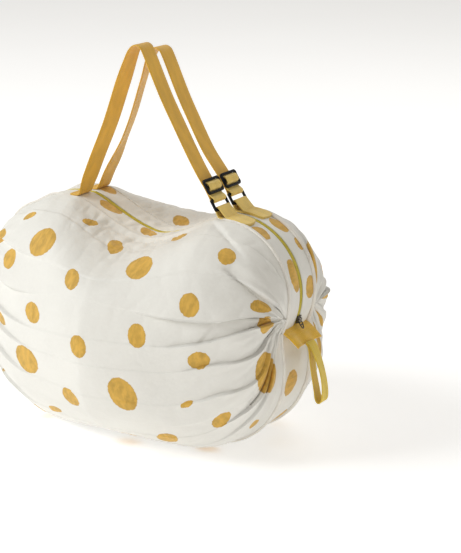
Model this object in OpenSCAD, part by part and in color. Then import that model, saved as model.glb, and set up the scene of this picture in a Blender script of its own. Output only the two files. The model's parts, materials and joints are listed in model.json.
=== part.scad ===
// Foldable travel tote with a top zip, two carry straps and pull-to-fold end tabs.
// Origin: middle of the flat base. +X towards the end with the elastic loop, +Y rear, +Z up.

/* [Body] */
// Height of the two shoulders that carry the straps
shoulder_h = 264; // [240:1:290]
// Depth of the filled body, front to rear
body_d = 316; // [280:1:340]
// Radius of the rounded upper ends
end_r = 82; // [70:1:90]
// Half distance between the centres of the upper end arcs
end_cx = 112; // [95:1:130]
// Radius of the rounded lower ends
foot_r = 98; // [80:1:110]
// How far the top sags between the straps
sag_depth = 35; // [15:1:45]
// Width of the strip that runs all round the bag
strip_w = 60; // [50:1:70]
// Thickness of the fabric shell
fabric_t = 1.4; // [1:0.1:2.5]

/* [Zip] */
// Width of the open slot between the two top strips
zip_gap = 7; // [5:0.5:9]
// Angle of the parked slider below the end arc's centre
slider_park = 19; // [15:1:22]
// Length of the pull
pull_l = 10; // [9:1:11]

/* [Straps] */
// Width of the strap webbing
web_w = 25; // [20:1:26]
// Thickness of the strap webbing
web_t = 1.6; // [1.2:0.1:2]
// Distance of each strap's centre line from the middle of the bag
strap_y = 18.5; // [17.5:0.5:22]
// Place of the left strap roots along the bag
root_x = -84; // [-95:1:-75]
// Place of the rings' lower bars along the bag
ring_x = 102.5; // [95:0.5:108]
// Lean of the left strand from upright
lean_left = 21.5; // [18:0.5:26]
// Lean of the right strand from upright
lean_right = 32.5; // [28:0.5:36]
// Radius of the bend at the top of the strap
apex_r = 8; // [5:1:20]

/* [Buckles] */
// Outside width of the rings and glides
buckle_w = 31.5; // [29:0.5:33]
// Distance between the bars of a ring
ring_pitch = 12; // [10:0.5:14]
// Thickness of the ring bars
ring_bar = 2.8; // [2.4:0.1:3]
// Outside height of a glide
glide_h = 18; // [16:1:20]
// Thickness of a glide
glide_t = 3; // [2.5:0.1:3.5]

/* [End tabs] */
// Angle of the tab roots below the end arc's centre
tab_angle = 26; // [24:1:30]
// How far an end tab stands out from the bag
tab_l = 24; // [18:1:28]
// Thickness of an end tab, two layers of webbing
tab_t = 2.6; // [2:0.1:3.2]
// Droop of the end tabs below level
tab_droop = 40; // [30:1:50]
// Width of the elastic loop
elastic_w = 17; // [12:1:20]
// Drop of the elastic loop below the tab
elastic_drop = 66; // [55:1:75]

/* [Hidden] */

$fn = 48;
gap = 0.3;
half_strip = strip_w / 2;
seam_w = 1.8;
end_cz = shoulder_h - end_r;
foot_cx = 92;
sag_mid = (root_x + ring_x) / 2;
sag_half = (ring_x - root_x) / 2 + 1;
strip_edge = half_strip - seam_w - 0.1;

// ---- small path tools: a path is a list of [x, z] points ----
function arc(cx, cz, r, a0, a1, n) =
    [for (i = [0:n]) let (a = a0 + (a1 - a0) * i / n) [cx + r * cos(a), cz + r * sin(a)]];
function unit(v) = v / norm(v);
function dir(p, i) = unit(p[min(i + 1, len(p) - 1)] - p[max(i - 1, 0)]);
// Moves each point of a path to the right of the direction of travel
function shift(p, o) = [for (i = [0:len(p) - 1]) let (d = dir(p, i)) p[i] + o * [d[1], -d[0]]];
function flip(p) = [for (i = [len(p) - 1:-1:0]) p[i]];
function run(p, i = 0, s = 0) = i == len(p) - 1 ? [s]
    : concat([s], run(p, i + 1, s + norm(p[i + 1] - p[i])));
function fillet(a, b, c, r, n = 8) =
    let (u = unit(a - b), v = unit(c - b), half = acos(u * v) / 2, t = r / tan(half),
         p = b + t * u, q = b + t * v, m = b + unit(u + v) * r / sin(half),
         a0 = atan2(p[1] - m[1], p[0] - m[0]), a1 = atan2(q[1] - m[1], q[0] - m[0]),
         d = a1 - a0 > 180 ? a1 - a0 - 360 : a1 - a0 < -180 ? a1 - a0 + 360 : a1 - a0)
    arc(m[0], m[1], r, a0, a0 + d, n);

// ---- the strip's outer line, seen from the front ----
function sag_at(x) = let (s = min(1, abs(x - sag_mid) / sag_half))
    sag_depth * pow(1 - pow(s, 1.6), 1.3);
// Clockwise from the left end tab over the top to the right one
top_path = concat(
    arc(-end_cx, end_cz, end_r, 180 + tab_angle, 90, 24),
    [for (i = [1:31]) let (x = -end_cx + 2 * end_cx * i / 32) [x, shoulder_h - sag_at(x)]],
    arc(end_cx, end_cz, end_r, 90, -tab_angle, 24));
// Anticlockwise from the left end tab under the base to the right one
base_path = concat(
    [top_path[0]],
    arc(-foot_cx, foot_r, foot_r, 168, 270, 18),
    arc(foot_cx, foot_r, foot_r, 270, 372, 18),
    [top_path[len(top_path) - 1]]);
tab_root = top_path[len(top_path) - 1];

// A band of webbing or fabric: lies along a path between two offsets, from y0 to y1.
// Positive offsets are to the left of the direction of travel.
module band(path, o0, o1, y0, y1) {
    translate([0, y1, 0]) rotate([90, 0, 0]) linear_extrude(y1 - y0)
        polygon(concat(shift(path, -o0), flip(shift(path, -o1))));
}
module mirrored(side) { if (side > 0) mirror([0, 1, 0]) children(); else children(); }

// ---- panels ----
panel_nu = 36;
panel_nv = 16;
bulge = body_d / 2 - half_strip;
top_run = run(top_path);
base_run = run(base_path);
function at(path, lengths, f) = let (s = f * lengths[len(lengths) - 1])
    [lookup(s, [for (i = [0:len(path) - 1]) [lengths[i], path[i][0]]]),
     lookup(s, [for (i = [0:len(path) - 1]) [lengths[i], path[i][1]]])];
function spow(v, k) = sign(v) * pow(abs(v), k);
function panel_point(f, a, t) =
    let (p = at(top_path, top_run, f), q = at(base_path, base_run, f), sag = sag_at(p[0]),
         full = p[1] + (p[1] > end_cz ? sag : 0), h = max(0.5, (full - q[1]) / 2 - t),
         b = max(1, bulge * pow(1 - pow(abs(2 * f - 1), 1.55), 1 / 1.55) - t),
         m = cos(a) > 0 ? 2 / 2.2 : 2 / 2.75, w = (1 + cos(a)) / 2,
         x = (q[0] + (p[0] - q[0]) * w) * (1 - t / 190))
    [x, -half_strip - b * pow(sin(a), m),
     (full + q[1]) / 2 + h * spow(cos(a), m) - (full - p[1]) * pow(max(0, cos(a)), 2)];
function panel_grid(t) = [for (i = [0:panel_nu], j = [0:panel_nv])
    panel_point(0.015 + 0.97 * i / panel_nu, 180 * j / panel_nv, t)];
module panel() {
    nv = panel_nv + 1;
    count = (panel_nu + 1) * nv;
    cells = [for (i = [0:panel_nu - 1], j = [0:panel_nv - 1]) i * nv + j];
    rim_u = [for (i = [0:panel_nu - 1]) i * nv];
    rim_v = [for (j = [0:panel_nv - 1]) j];
    last = panel_nu * nv;
    polyhedron(concat(panel_grid(0), panel_grid(fabric_t)), concat(
        [for (k = cells) [k, k + 1, k + nv + 1, k + nv]],
        [for (k = cells) [k + count, k + count + nv, k + count + nv + 1, k + count + 1]],
        [for (k = rim_u) [k, k + nv, k + nv + count, k + count]],
        [for (k = rim_u) let (m = k + panel_nv) [m, m + count, m + nv + count, m + nv]],
        [for (k = rim_v) [k, k + count, k + count + 1, k + 1]],
        [for (k = rim_v) let (m = k + last) [m, m + 1, m + 1 + count, m + count]]));
}
module front_panel() { color("antiquewhite") panel(); }
module rear_panel() { color("antiquewhite") mirror([0, 1, 0]) panel(); }

// ---- strips, seams and zip ----
module bottom_strip() { color("linen") band(base_path, 0, fabric_t, -strip_edge, strip_edge); }
module top_strip(side) {
    mirrored(side) band(top_path, -fabric_t, 0, -strip_edge, -zip_gap / 2);
}
module top_strip_front() { color("linen") top_strip(-1); }
module top_strip_rear() { color("linen") top_strip(1); }
module piping(side) {
    mirrored(side) {
        band(top_path, -2, 0, -half_strip + 0.1, -strip_edge - 0.1);
        band(base_path, 0, 2, -half_strip + 0.1, -strip_edge - 0.1);
    }
}
module piping_front() { color("white") piping(-1); }
module piping_rear() { color("white") piping(1); }

// The zip follows the strip and stops just short of each end tab
zip_end = tab_angle - 3;
zip_path = concat(arc(-end_cx, end_cz, end_r, 180 + zip_end, 90, 24),
                  [for (i = [25:55]) top_path[i]],
                  arc(end_cx, end_cz, end_r, 90, -zip_end, 24));
module zip_tape(side) { mirrored(side) band(zip_path, -2.4, -1.6, -13, -0.4); }
module zip_tape_front() { color("gold") zip_tape(-1); }
module zip_tape_rear() { color("gold") zip_tape(1); }
module zip_coil(side) { mirrored(side) band(zip_path, -1.5, 0.2, -2.6, -0.1); }
module zip_coil_front() { color("goldenrod") zip_coil(-1); }
module zip_coil_rear() { color("goldenrod") zip_coil(1); }

// Local frame on the right end arc: X outwards, Z up along the zip
module on_arc(angle) {
    translate([end_cx, 0, end_cz]) rotate([0, angle, 0]) translate([end_r, 0, 0]) children();
}
module zip_stops() {
    color("dimgray") {
        on_arc(tab_angle - 0.9) translate([-1.4, -3, -0.9]) cube([2, 6, 1.8]);
        mirror([1, 0, 0]) on_arc(tab_angle - 0.9) translate([-1.4, -3, -0.9]) cube([2, 6, 1.8]);
    }
}
module zip_slider() {
    color("dimgray") on_arc(slider_park) {
        difference() {
            translate([0.6, -4, -5]) cube([1.6, 8, 10]);
            for (y = [-5.6, 5.6]) translate([-1, y, -6]) rotate([0, 90, 0]) cylinder(4, 3, 3);
        }
        // crown that the pull hangs from
        difference() {
            translate([2.2, -1.4, -4]) cube([3, 2.8, 8]);
            translate([3.2, -3, 0]) rotate([-90, 0, 0]) cylinder(6, 1.1, 1.1);
            translate([3.2, -3, -1.1]) cube([0.9, 6, 2.2]);
        }
    }
}
// Pivot of the pull, inside the slider's crown; the pull leans outwards over the end tab
pull_lean = 28;
pull_pivot = [end_cx + (end_r + 3.2) * cos(slider_park), end_cz - (end_r + 3.2) * sin(slider_park)];
module zip_pull() {
    color("dimgray") translate([pull_pivot[0], 0, pull_pivot[1]]) rotate([0, -pull_lean, 0]) {
        translate([0, -3, 0]) rotate([-90, 0, 0]) cylinder(6, 0.8, 0.8);
        for (s = [-1, 1]) translate([-0.8, s * 2.4 - 0.6, -4.6]) cube([1.6, 1.2, 4.6]);
        difference() {
            translate([-0.8, -3, -pull_l]) cube([1.6, 6, pull_l - 4.6]);
            translate([-2, 0, 2.4 - pull_l]) rotate([0, 90, 0]) cylinder(4, 1, 1);
        }
    }
}

// ---- end tabs and elastic loop ----
tab_pivot = [tab_root[0] + 2.6, tab_root[1]];
module end_tab() {
    translate([tab_pivot[0], 0, tab_pivot[1]]) rotate([0, tab_droop, 0])
        translate([0.2, -half_strip, -tab_t / 2]) cube([tab_l, strip_w, tab_t]);
}
module end_tab_right() { color("goldenrod") end_tab(); }
module end_tab_left() { color("goldenrod") mirror([1, 0, 0]) end_tab(); }
loop_pivot = tab_pivot + (tab_l + 3.2) * [cos(tab_droop), -sin(tab_droop)];
elastic_t = 1.4;
loop_r = 7;
module elastic_loop() {
    turn = arc(6, loop_r - elastic_drop, loop_r, 184, 372, 16);
    path = concat([[-1, 0], [-1.6, -14], [-1.6, -30]], turn, [[9.6, -30], [4.6, -14], [1, 0]]);
    color("gold") translate([loop_pivot[0], 0, loop_pivot[1]])
        band(path, -elastic_t / 2, elastic_t / 2, -elastic_w / 2, elastic_w / 2);
}

// ---- straps ----
// The right strand's own frame: s runs up the strand from the ring's lower bar, n points outwards
up_right = [-sin(lean_right), cos(lean_right)];
out_right = [cos(lean_right), sin(lean_right)];
ring_z = shoulder_h + 10;
ring_at = [ring_x, ring_z];
function local(s, n) = ring_at + s * up_right + n * out_right;
// Radius of the webbing's middle where it turns round a ring bar
turn_r = 0.71 * ring_bar + 0.25 + web_t / 2;
strand_n = -2.0;
wrap_n = -0.2;
glide_s = ring_pitch + 6.5;
glide_n = 0.8;
end_s = glide_s - 0.4;
up_left = [sin(lean_left), cos(lean_left)];
root_at = [root_x, shoulder_h + 4];
swing_z = local(ring_pitch, 0)[1];
root_top = root_at + up_left * ((swing_z + 3 - root_at[1]) / up_left[1]);
cross_t = let (a = local(0, strand_n), d = a - root_at)
    (d[0] * up_right[1] - d[1] * up_right[0]) / (up_left[0] * up_right[1] - up_left[1] * up_right[0]);
apex = root_at + cross_t * up_left;

module strap_band(path) {
    band(path, -web_t / 2, web_t / 2, -strap_y - web_w / 2, -strap_y + web_w / 2);
}
module strap(side) {
    low = local(end_s, strand_n);
    mirrored(side) strap_band(concat([root_top], fillet(root_top, apex, low, apex_r, 12), [low]));
}
module strap_front() { color("goldenrod") strap(-1); }
module strap_rear() { color("goldenrod") strap(1); }
// Left end of the webbing: sewn flat on the strip, then bent upwards
module strap_foot(side) {
    rise = web_t / 2 + gap;
    flat = [for (i = [4:-1:0]) let (a = 90 + 1.5 * i)
        [-end_cx + (end_r + rise) * cos(a), end_cz + (end_r + rise) * sin(a)]];
    corner = [root_x - 1.5, shoulder_h + rise];
    bend = fillet(flat[4], corner, root_top, 4, 6);
    mirrored(side) strap_band(concat(flat, bend, [root_top - 0.3 * up_left]));
}
module strap_foot_front() { color("goldenrod") strap_foot(-1); }
module strap_foot_rear() { color("goldenrod") strap_foot(1); }
// The webbing round the ring's upper bar and back up to the glide
module strap_end(side) {
    turn = [for (i = [0:12]) let (a = -90 - 15 * i)
        local(ring_pitch + turn_r * cos(a), turn_r * sin(a))];
    path = concat([local(end_s - 0.3, strand_n), local(ring_pitch + 3, strand_n - 0.3)],
                  turn, [local(ring_pitch + 3.2, 1.9), local(ring_pitch + 5.6, wrap_n),
                         local(glide_s + 3.6, wrap_n)]);
    mirrored(side) strap_band(path);
}
module strap_end_front() { color("goldenrod") strap_end(-1); }
module strap_end_rear() { color("goldenrod") strap_end(1); }

// Places its children in the right strand's frame: X up the strand, Z inwards
module on_strand(s, n) {
    p = local(s, n);
    translate([p[0], -strap_y, p[1]]) rotate([0, -90 - lean_right, 0]) children();
}
module rounded(l, w, r) {
    translate([r, 0]) square([l - 2 * r, w], center = false);
    translate([0, r]) square([l, w - 2 * r], center = false);
    for (x = [r, l - r], y = [r, w - r]) translate([x, y]) circle(r);
}
slot_h = 4.6;
bar_h = 3;
frame_h = (glide_h - 2 * slot_h - bar_h) / 2;
slot_w = web_w + 1;
module glide(side) {
    mirrored(side) on_strand(glide_s, glide_n)
        translate([0, -buckle_w / 2, -glide_t]) linear_extrude(glide_t) difference() {
            rounded(glide_h, buckle_w, 3);
            for (x = [frame_h, frame_h + slot_h + bar_h])
                translate([x, (buckle_w - slot_w) / 2]) square([slot_h, slot_w]);
        }
}
module glide_front() { color("black") glide(-1); }
module glide_rear() { color("black") glide(1); }
// The stitched end of the webbing, wrapped over the glide's middle bar
module strap_wrap(side) {
    s0 = glide_s + frame_h + 0.9;
    s1 = glide_s + glide_h - frame_h - 0.9;
    n1 = glide_n + glide_t + 0.3 + 0.6;
    path = [local(s0, glide_n - 0.1), local(s0 + 0.5, n1 - 0.6), local(s0 + 2.2, n1),
            local(s1 - 2.2, n1), local(s1 - 0.5, n1 - 0.6), local(s1, glide_n - 0.1)];
    mirrored(side) band(path, -0.6, 0.6, -strap_y - web_w / 2, -strap_y + web_w / 2);
}
module strap_wrap_front() { color("goldenrod") strap_wrap(-1); }
module strap_wrap_rear() { color("goldenrod") strap_wrap(1); }
module ring(side) {
    mirrored(side) on_strand(0, 0)
        translate([-ring_bar / 2, -buckle_w / 2, -ring_bar / 2]) linear_extrude(ring_bar) difference() {
            rounded(ring_pitch + ring_bar, buckle_w, 2.6);
            translate([ring_bar, ring_bar]) square([ring_pitch - ring_bar, buckle_w - 2 * ring_bar]);
        }
}
module ring_front() { color("black") ring(-1); }
module ring_rear() { color("black") ring(1); }
// Webbing folded round the ring's lower bar and sewn flat on the strip
module anchor_tab(side) {
    low_z = shoulder_h + web_t / 2 + gap;
    over = arc(ring_at[0], ring_at[1], turn_r, 62, 236, 14);
    lie = [for (i = [0:6]) let (a = 88 - 3 * i)
        [end_cx + (end_r + gap + web_t / 2) * cos(a), end_cz + (end_r + gap + web_t / 2) * sin(a)]];
    top = [for (i = [6:-1:0]) let (a = 88 - 3 * i)
        [end_cx + (end_r + gap + 1.55 * web_t) * cos(a), end_cz + (end_r + gap + 1.55 * web_t) * sin(a)]];
    mirrored(side) {
        strap_band(concat(over, [[ring_x + 2.6, low_z + 0.4], [ring_x + 6, low_z]], lie));
        strap_band(concat([for (i = [0:6]) top[i]], [[ring_x + 11, low_z + 2.2]], [over[0]]));
    }
}
module anchor_tab_front() { color("goldenrod") anchor_tab(-1); }
module anchor_tab_rear() { color("goldenrod") anchor_tab(1); }

front_panel();
rear_panel();
bottom_strip();
top_strip_front();
top_strip_rear();
zip_tape_front();
zip_tape_rear();
zip_coil_front();
zip_coil_rear();
zip_slider();
zip_pull();
zip_stops();
piping_front();
piping_rear();
end_tab_right();
end_tab_left();
elastic_loop();
strap_front();
strap_rear();
strap_foot_front();
strap_foot_rear();
strap_end_front();
strap_end_rear();
strap_wrap_front();
strap_wrap_rear();
glide_front();
glide_rear();
ring_front();
ring_rear();
anchor_tab_front();
anchor_tab_rear();
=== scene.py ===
"""Looks of a foldable travel tote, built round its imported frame. All sizes are in metres."""
import json
import math

import bmesh
import bpy
import numpy as np
from bpy.props import FloatProperty, FloatVectorProperty, PointerProperty
from mathutils import Matrix, Vector


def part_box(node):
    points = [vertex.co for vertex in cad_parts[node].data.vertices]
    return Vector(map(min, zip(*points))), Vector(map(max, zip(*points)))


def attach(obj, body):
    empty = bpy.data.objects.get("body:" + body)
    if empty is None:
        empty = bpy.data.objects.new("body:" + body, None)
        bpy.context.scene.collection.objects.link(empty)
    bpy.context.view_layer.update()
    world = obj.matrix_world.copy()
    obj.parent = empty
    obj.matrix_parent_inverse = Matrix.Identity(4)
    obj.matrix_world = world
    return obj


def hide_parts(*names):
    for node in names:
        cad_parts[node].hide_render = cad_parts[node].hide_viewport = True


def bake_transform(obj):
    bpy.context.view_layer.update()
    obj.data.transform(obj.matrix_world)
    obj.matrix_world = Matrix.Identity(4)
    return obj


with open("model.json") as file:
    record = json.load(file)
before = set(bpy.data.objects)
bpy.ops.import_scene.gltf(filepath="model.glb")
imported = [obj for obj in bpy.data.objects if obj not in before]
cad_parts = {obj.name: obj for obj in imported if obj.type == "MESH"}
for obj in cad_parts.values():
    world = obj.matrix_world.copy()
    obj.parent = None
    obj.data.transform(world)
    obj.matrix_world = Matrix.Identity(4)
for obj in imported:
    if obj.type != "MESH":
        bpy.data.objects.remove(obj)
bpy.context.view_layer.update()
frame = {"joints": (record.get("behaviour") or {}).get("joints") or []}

bl_info = {
    "name": "Foldable travel tote",
    "version": (1, 0, 0),
    "blender": (4, 5, 0),
    "location": "3D View > Sidebar > Tote",
    "description": "Builds the printed cloth, straps, zip and buckles of a foldable tote",
    "category": "Add Mesh",
}

MM = 0.001
JOINTS = {joint["name"]: joint for joint in frame["joints"]}


def pivot(joint):
    """Place of a joint in the frame."""
    return Vector(JOINTS[joint]["pos_m"])


# ---- values that the frame settles ----
SHOULDER_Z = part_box("top_strip_front")[1].z
END_CENTRE = pivot("zip_slider_travel")
END_R = SHOULDER_Z - END_CENTRE.z
HALF_STRIP = -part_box("front_panel")[1].y
BULGE = -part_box("front_panel")[0].y - HALF_STRIP
TAB_PIVOT = pivot("end_tab_right_flex")
TAB_ANGLE = math.degrees(math.asin((END_CENTRE.z - TAB_PIVOT.z) / END_R))
ELASTIC_PIVOT = pivot("elastic_loop_swing")
STRAP_Y = -pivot("strap_front_swing").y
STRAND_UP = Vector(JOINTS["glide_front_slide"]["axis"])
STRAND_OUT = Vector((STRAND_UP.z, 0, -STRAND_UP.x))
PULL_PIVOT = pivot("zip_pull_flip")
SIDES = {"front": -1, "rear": 1}


# ---- settings a user may change ----
def length(name, description, value):
    """A length setting."""
    return FloatProperty(name=name, description=description, default=value, unit="LENGTH")


def colour(name, description, value):
    """A colour setting."""
    return FloatVectorProperty(name=name, description=description, default=value, subtype="COLOR",
                               size=3, min=0, max=1)


class ToteBody(bpy.types.PropertyGroup):
    """Sizes of the filled cloth body."""

    foot_r: length("Foot radius", "Radius of the rounded lower ends", 0.098)
    foot_cx: length("Foot centre", "Half distance between the lower end arcs", 0.092)
    sag: length("Sag", "How far the top sags between the straps", 0.035)
    sag_mid: length("Sag place", "Middle of the sag along the bag", 0.00925)
    sag_half: length("Half sag length", "Half the length of the sag", 0.09425)
    cloth: length("Cloth", "Thickness of the coated cloth", 0.0006)
    gather_up: length("Gather height", "How far above the tab roots the cloth is gathered", 0.020)
    pleat: length("Pleat depth", "Height of the folds at the gathered ends", 0.0024)


class ToteStraps(bpy.types.PropertyGroup):
    """Sizes of the webbing, the buckles and the zip tape."""

    width: length("Webbing width", "Width of the strap webbing", 0.025)
    thick: length("Webbing thickness", "Thickness of the strap webbing", 0.0015)
    buckle_w: length("Buckle width", "Outside width of rings and glides", 0.0315)
    ring_pitch: length("Ring pitch", "Distance between the bars of a ring", 0.012)
    ring_bar: length("Ring bar", "Thickness of the ring bars", 0.0028)
    glide_h: length("Glide height", "Outside height of a glide", 0.018)
    glide_t: length("Glide thickness", "Thickness of a glide", 0.003)
    elastic_w: length("Elastic width", "Width of the elastic loop", 0.017)
    tape_w: length("Tape width", "Width of each zip tape", 0.0124)


class ToteColours(bpy.types.PropertyGroup):
    """Colours of the finishes, in linear light."""

    cloth: colour("Cloth", "Off-white of the coated cloth", (0.80, 0.785, 0.735))
    print_gold: colour("Print", "Painted spots", (0.60, 0.36, 0.065))
    webbing: colour("Webbing", "Strap webbing", (0.80, 0.45, 0.040))
    # Painted highlight: a paler copy of the strap webbing colour, for the webbing at the buckles where the
    # light catches it
    highlit_webbing: colour("Anchor webbing", "Paler webbing at the buckles", (0.88, 0.63, 0.16))
    tab: colour("Tab twill", "Twill of the end tabs", (0.88, 0.53, 0.05))
    elastic: colour("Elastic", "Elastic loop", (0.90, 0.64, 0.05))
    zip: colour("Zip", "Tape and teeth of the zip", (0.95, 0.78, 0.11))
    binding: colour("Binding", "Seam binding", (0.95, 0.90, 0.83))
    buckle: colour("Buckle", "Moulded rings and glides", (0.004, 0.004, 0.006))
    metal: colour("Metal", "Slider and stops of the zip", (0.10, 0.09, 0.075))


GROUPS = {"tote_body": ToteBody, "tote_straps": ToteStraps, "tote_colours": ToteColours}


def body():
    return bpy.context.scene.tote_body


def straps():
    return bpy.context.scene.tote_straps


def hue(name):
    """A colour of the settings with full alpha."""
    return (*getattr(bpy.context.scene.tote_colours, name), 1.0)


# ---- lines and outlines ----
def arc(cx, cz, radius, start, end, steps):
    """Points [x, z] along an arc, angles in degrees."""
    turn = np.radians(np.linspace(start, end, steps + 1))
    return np.column_stack([cx + radius * np.cos(turn), cz + radius * np.sin(turn)])


def lengths(path):
    """Length along a path up to each of its points."""
    steps = np.linalg.norm(np.diff(path, axis=0), axis=1)
    return np.concatenate([[0.0], np.cumsum(steps)])


def along(path, distance):
    """Points at these distances along a path."""
    run = lengths(path)
    return np.stack([np.interp(distance, run, path[:, k]) for k in range(path.shape[1])], axis=-1)


def even(path, step):
    """The same path with points a step apart."""
    total = lengths(path)[-1]
    return along(path, np.linspace(0, total, max(2, round(total / step)) + 1))


def smooth(points, step):
    """A curve through the points (Catmull-Rom), then evened out."""
    points = np.array(points, float)
    padded = np.vstack([2 * points[0] - points[1], points, 2 * points[-1] - points[-2]])
    t = np.linspace(0, 1, 13)[:-1, None]
    pieces = []
    for a, b, c, d in zip(padded, padded[1:], padded[2:], padded[3:]):
        pieces.append(0.5 * (2 * b + (c - a) * t + (2 * a - 5 * b + 4 * c - d) * t**2
                             + (3 * b - a - 3 * c + d) * t**3))
    return even(np.vstack(pieces + [points[-1:]]), step)


def tangents(path):
    """Unit direction at each point."""
    step = np.gradient(path, axis=0)
    return step / np.linalg.norm(step, axis=-1, keepdims=True)


def outward(path):
    """Unit vector to the left of the direction of travel, for [x, z] paths."""
    t = tangents(path)
    return np.column_stack([-t[:, 1], t[:, 0]])


def sag_at(x):
    """How far the top line hangs below the shoulders."""
    share = np.minimum(1, np.abs(x - body().sag_mid) / body().sag_half)
    return body().sag * (1 - share**1.6) ** 1.3


def top_line():
    """From the left end tab over the top to the right one, [x, z]."""
    cx, cz = END_CENTRE.x, END_CENTRE.z
    middle = np.linspace(-cx, cx, 129)[1:-1]
    left = arc(-cx, cz, END_R, 180 + TAB_ANGLE, 90, 60)
    left[:, 1] -= 7 * MM * np.exp(-((left[:, 0] + 148 * MM) / (22 * MM)) ** 2) * (left[:, 1] > cz)
    return np.vstack([left,
                      np.column_stack([middle, SHOULDER_Z - sag_at(middle)]),
                      arc(cx, cz, END_R, 90, -TAB_ANGLE, 60)])


def base_line():
    """From the left end tab under the base to the right one, [x, z]."""
    top = top_line()
    r, cx = body().foot_r, body().foot_cx
    return np.vstack([top[:1], arc(-cx, r, r, 168, 270, 50), arc(cx, r, r, 270, 372, 50), top[-1:]])


def upright(path, y=0.0):
    """An [x, z] path as points in space at this y."""
    return np.column_stack([path[:, 0], np.broadcast_to(y, len(path)), path[:, 1]])


# ---- mesh tools ----
def new_piece(name, work, material, smooth_shade=True):
    """Turns a bmesh into an object of the scene."""
    mesh = bpy.data.meshes.new(name)
    work.to_mesh(mesh)
    work.free()
    mesh.materials.append(material)
    for face in mesh.polygons:
        face.use_smooth = smooth_shade
    piece = bpy.data.objects.new(name, mesh)
    bpy.context.scene.collection.objects.link(piece)
    return piece


def lay_grid(work, places, uv, flip=False, closed=False, capped=False):
    """Adds a grid whose corners lie at places[i][j], with uv[i][j] as its map."""
    rows, columns = places.shape[:2]
    layer = work.loops.layers.uv.get("UVMap") or work.loops.layers.uv.new("UVMap")
    made = bmesh.ops.create_grid(work, x_segments=columns - 1, y_segments=rows - 1, size=0.5)["verts"]
    for vert in made:
        i = round((vert.co.y + 0.5) * (rows - 1))
        j = round((vert.co.x + 0.5) * (columns - 1))
        for loop in vert.link_loops:
            loop[layer].uv = uv[i, j]
        vert.co = places[i, j]
    if flip:
        bmesh.ops.reverse_faces(work, faces=list({f for v in made for f in v.link_faces}))
    if closed:
        faces = list({f for v in made for f in v.link_faces})
        bmesh.ops.remove_doubles(work, verts=made, dist=1e-7)
        if capped:
            ends = list({e for f in faces if f.is_valid for e in f.edges if e.is_boundary})
            faces += bmesh.ops.holes_fill(work, edges=ends, sides=0)["faces"]
        bmesh.ops.recalc_face_normals(work, faces=[f for f in faces if f.is_valid])


def flat_profile(width, thick, steps=8):
    """Outline of webbing: flat faces and round edges, as (across, up) pairs, closed."""
    r = thick / 2
    face = np.linspace(-width / 2 + r, width / 2 - r, steps + 1)
    edge = np.radians(np.linspace(90, -90, 5))[1:-1]
    right = np.column_stack([width / 2 - r + r * np.cos(edge), r * np.sin(edge)])
    upper = np.column_stack([face, np.full_like(face, r)])
    outline = np.vstack([upper, right, upper[::-1] * [1, -1], right[::-1] * [-1, 1]])
    return np.vstack([outline, outline[:1]])


def round_profile(width, height, count=10):
    """An elliptic outline, closed."""
    turn = np.linspace(0, 2 * math.pi, count + 1)
    return np.column_stack([width / 2 * np.cos(turn), height / 2 * np.sin(turn)])


def add_sweep(work, path, side, profile, twist=0.0, scale=1.0, swell=1.0, loop=False):
    """Sweeps a profile along a path. Side is the direction of the profile's first axis."""
    path, count = np.asarray(path, float), len(path)
    ahead = tangents(path)
    if loop:
        ahead[0] = ahead[-1] = (path[1] - path[-2]) / np.linalg.norm(path[1] - path[-2])
    side = np.broadcast_to(side, path.shape) + 0.0
    side -= ahead * np.sum(side * ahead, axis=1, keepdims=True)
    side /= np.linalg.norm(side, axis=1, keepdims=True)
    up = np.cross(side, ahead)
    twist = np.broadcast_to(twist, count)[:, None]
    side, up = side * np.cos(twist) + up * np.sin(twist), up * np.cos(twist) - side * np.sin(twist)
    scale = np.broadcast_to(scale, count)[:, None, None]
    swell = np.broadcast_to(swell, count)[:, None, None]
    places = (path[:, None] + side[:, None] * profile[None, :, :1] * scale * swell
              + up[:, None] * profile[None, :, 1:] * swell)
    uv = np.stack([np.broadcast_to(lengths(path)[:, None], places.shape[:2]),
                   np.broadcast_to(profile[:, 0], places.shape[:2])], axis=-1)
    lay_grid(work, places, uv, closed=True, capped=not loop)


def swept(name, path, profile, material, **shape):
    """A piece whose profile, its width across the bag, is swept along a path."""
    work = bmesh.new()
    add_sweep(work, path, (0, 1, 0), profile, **shape)
    return new_piece(name, work, material)


def bead(size):
    """A template mesh: a small rounded bead of this half length, width and height."""
    made = bmesh.new()
    bmesh.ops.create_uvsphere(made, u_segments=6, v_segments=4, radius=1, matrix=Matrix.Diagonal((*size, 1)))
    mesh = bpy.data.meshes.new("bead")
    made.to_mesh(mesh)
    made.free()
    return mesh


def round_off(work, edges, radius, segments):
    """Rounds edges and returns the new corners."""
    return bmesh.ops.bevel(work, geom=edges, offset=radius, segments=segments, profile=0.5, material=-1,
                           affect="EDGES")["verts"]


def stamp(work, template, place):
    """Adds a copy of a template mesh at a place."""
    copy = template.copy()
    copy.transform(place)
    work.from_mesh(copy)
    bpy.data.meshes.remove(copy)


def add_stitches(work, line, normal, length=2.4 * MM, space=0.9 * MM, thread=0.30 * MM):
    """Adds a row of stitches that lie along a line on a surface with this normal."""
    total = lengths(line)[-1]
    count = max(1, int((total + space) / (length + space)))
    pitch = total / count
    centres = along(line, (np.arange(count) + 0.5) * pitch)
    ahead = along(line, np.minimum(total, (np.arange(count) + 0.5) * pitch + 0.4 * MM)) - centres
    normal = np.broadcast_to(normal, line.shape)
    up = np.stack([np.interp((np.arange(count) + 0.5) * pitch, lengths(line), normal[:, k])
                   for k in range(3)], axis=-1)
    template = bead(((pitch - space) / 2, thread, thread))
    for centre, forward, lift in zip(centres, ahead, up):
        x = Vector(forward).normalized()
        z = Vector(lift).normalized()
        y = z.cross(x).normalized()
        stamp(work, template, Matrix.Translation(centre) @ Matrix((x, y, x.cross(y))).transposed().to_4x4())
    bpy.data.meshes.remove(template)


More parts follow.
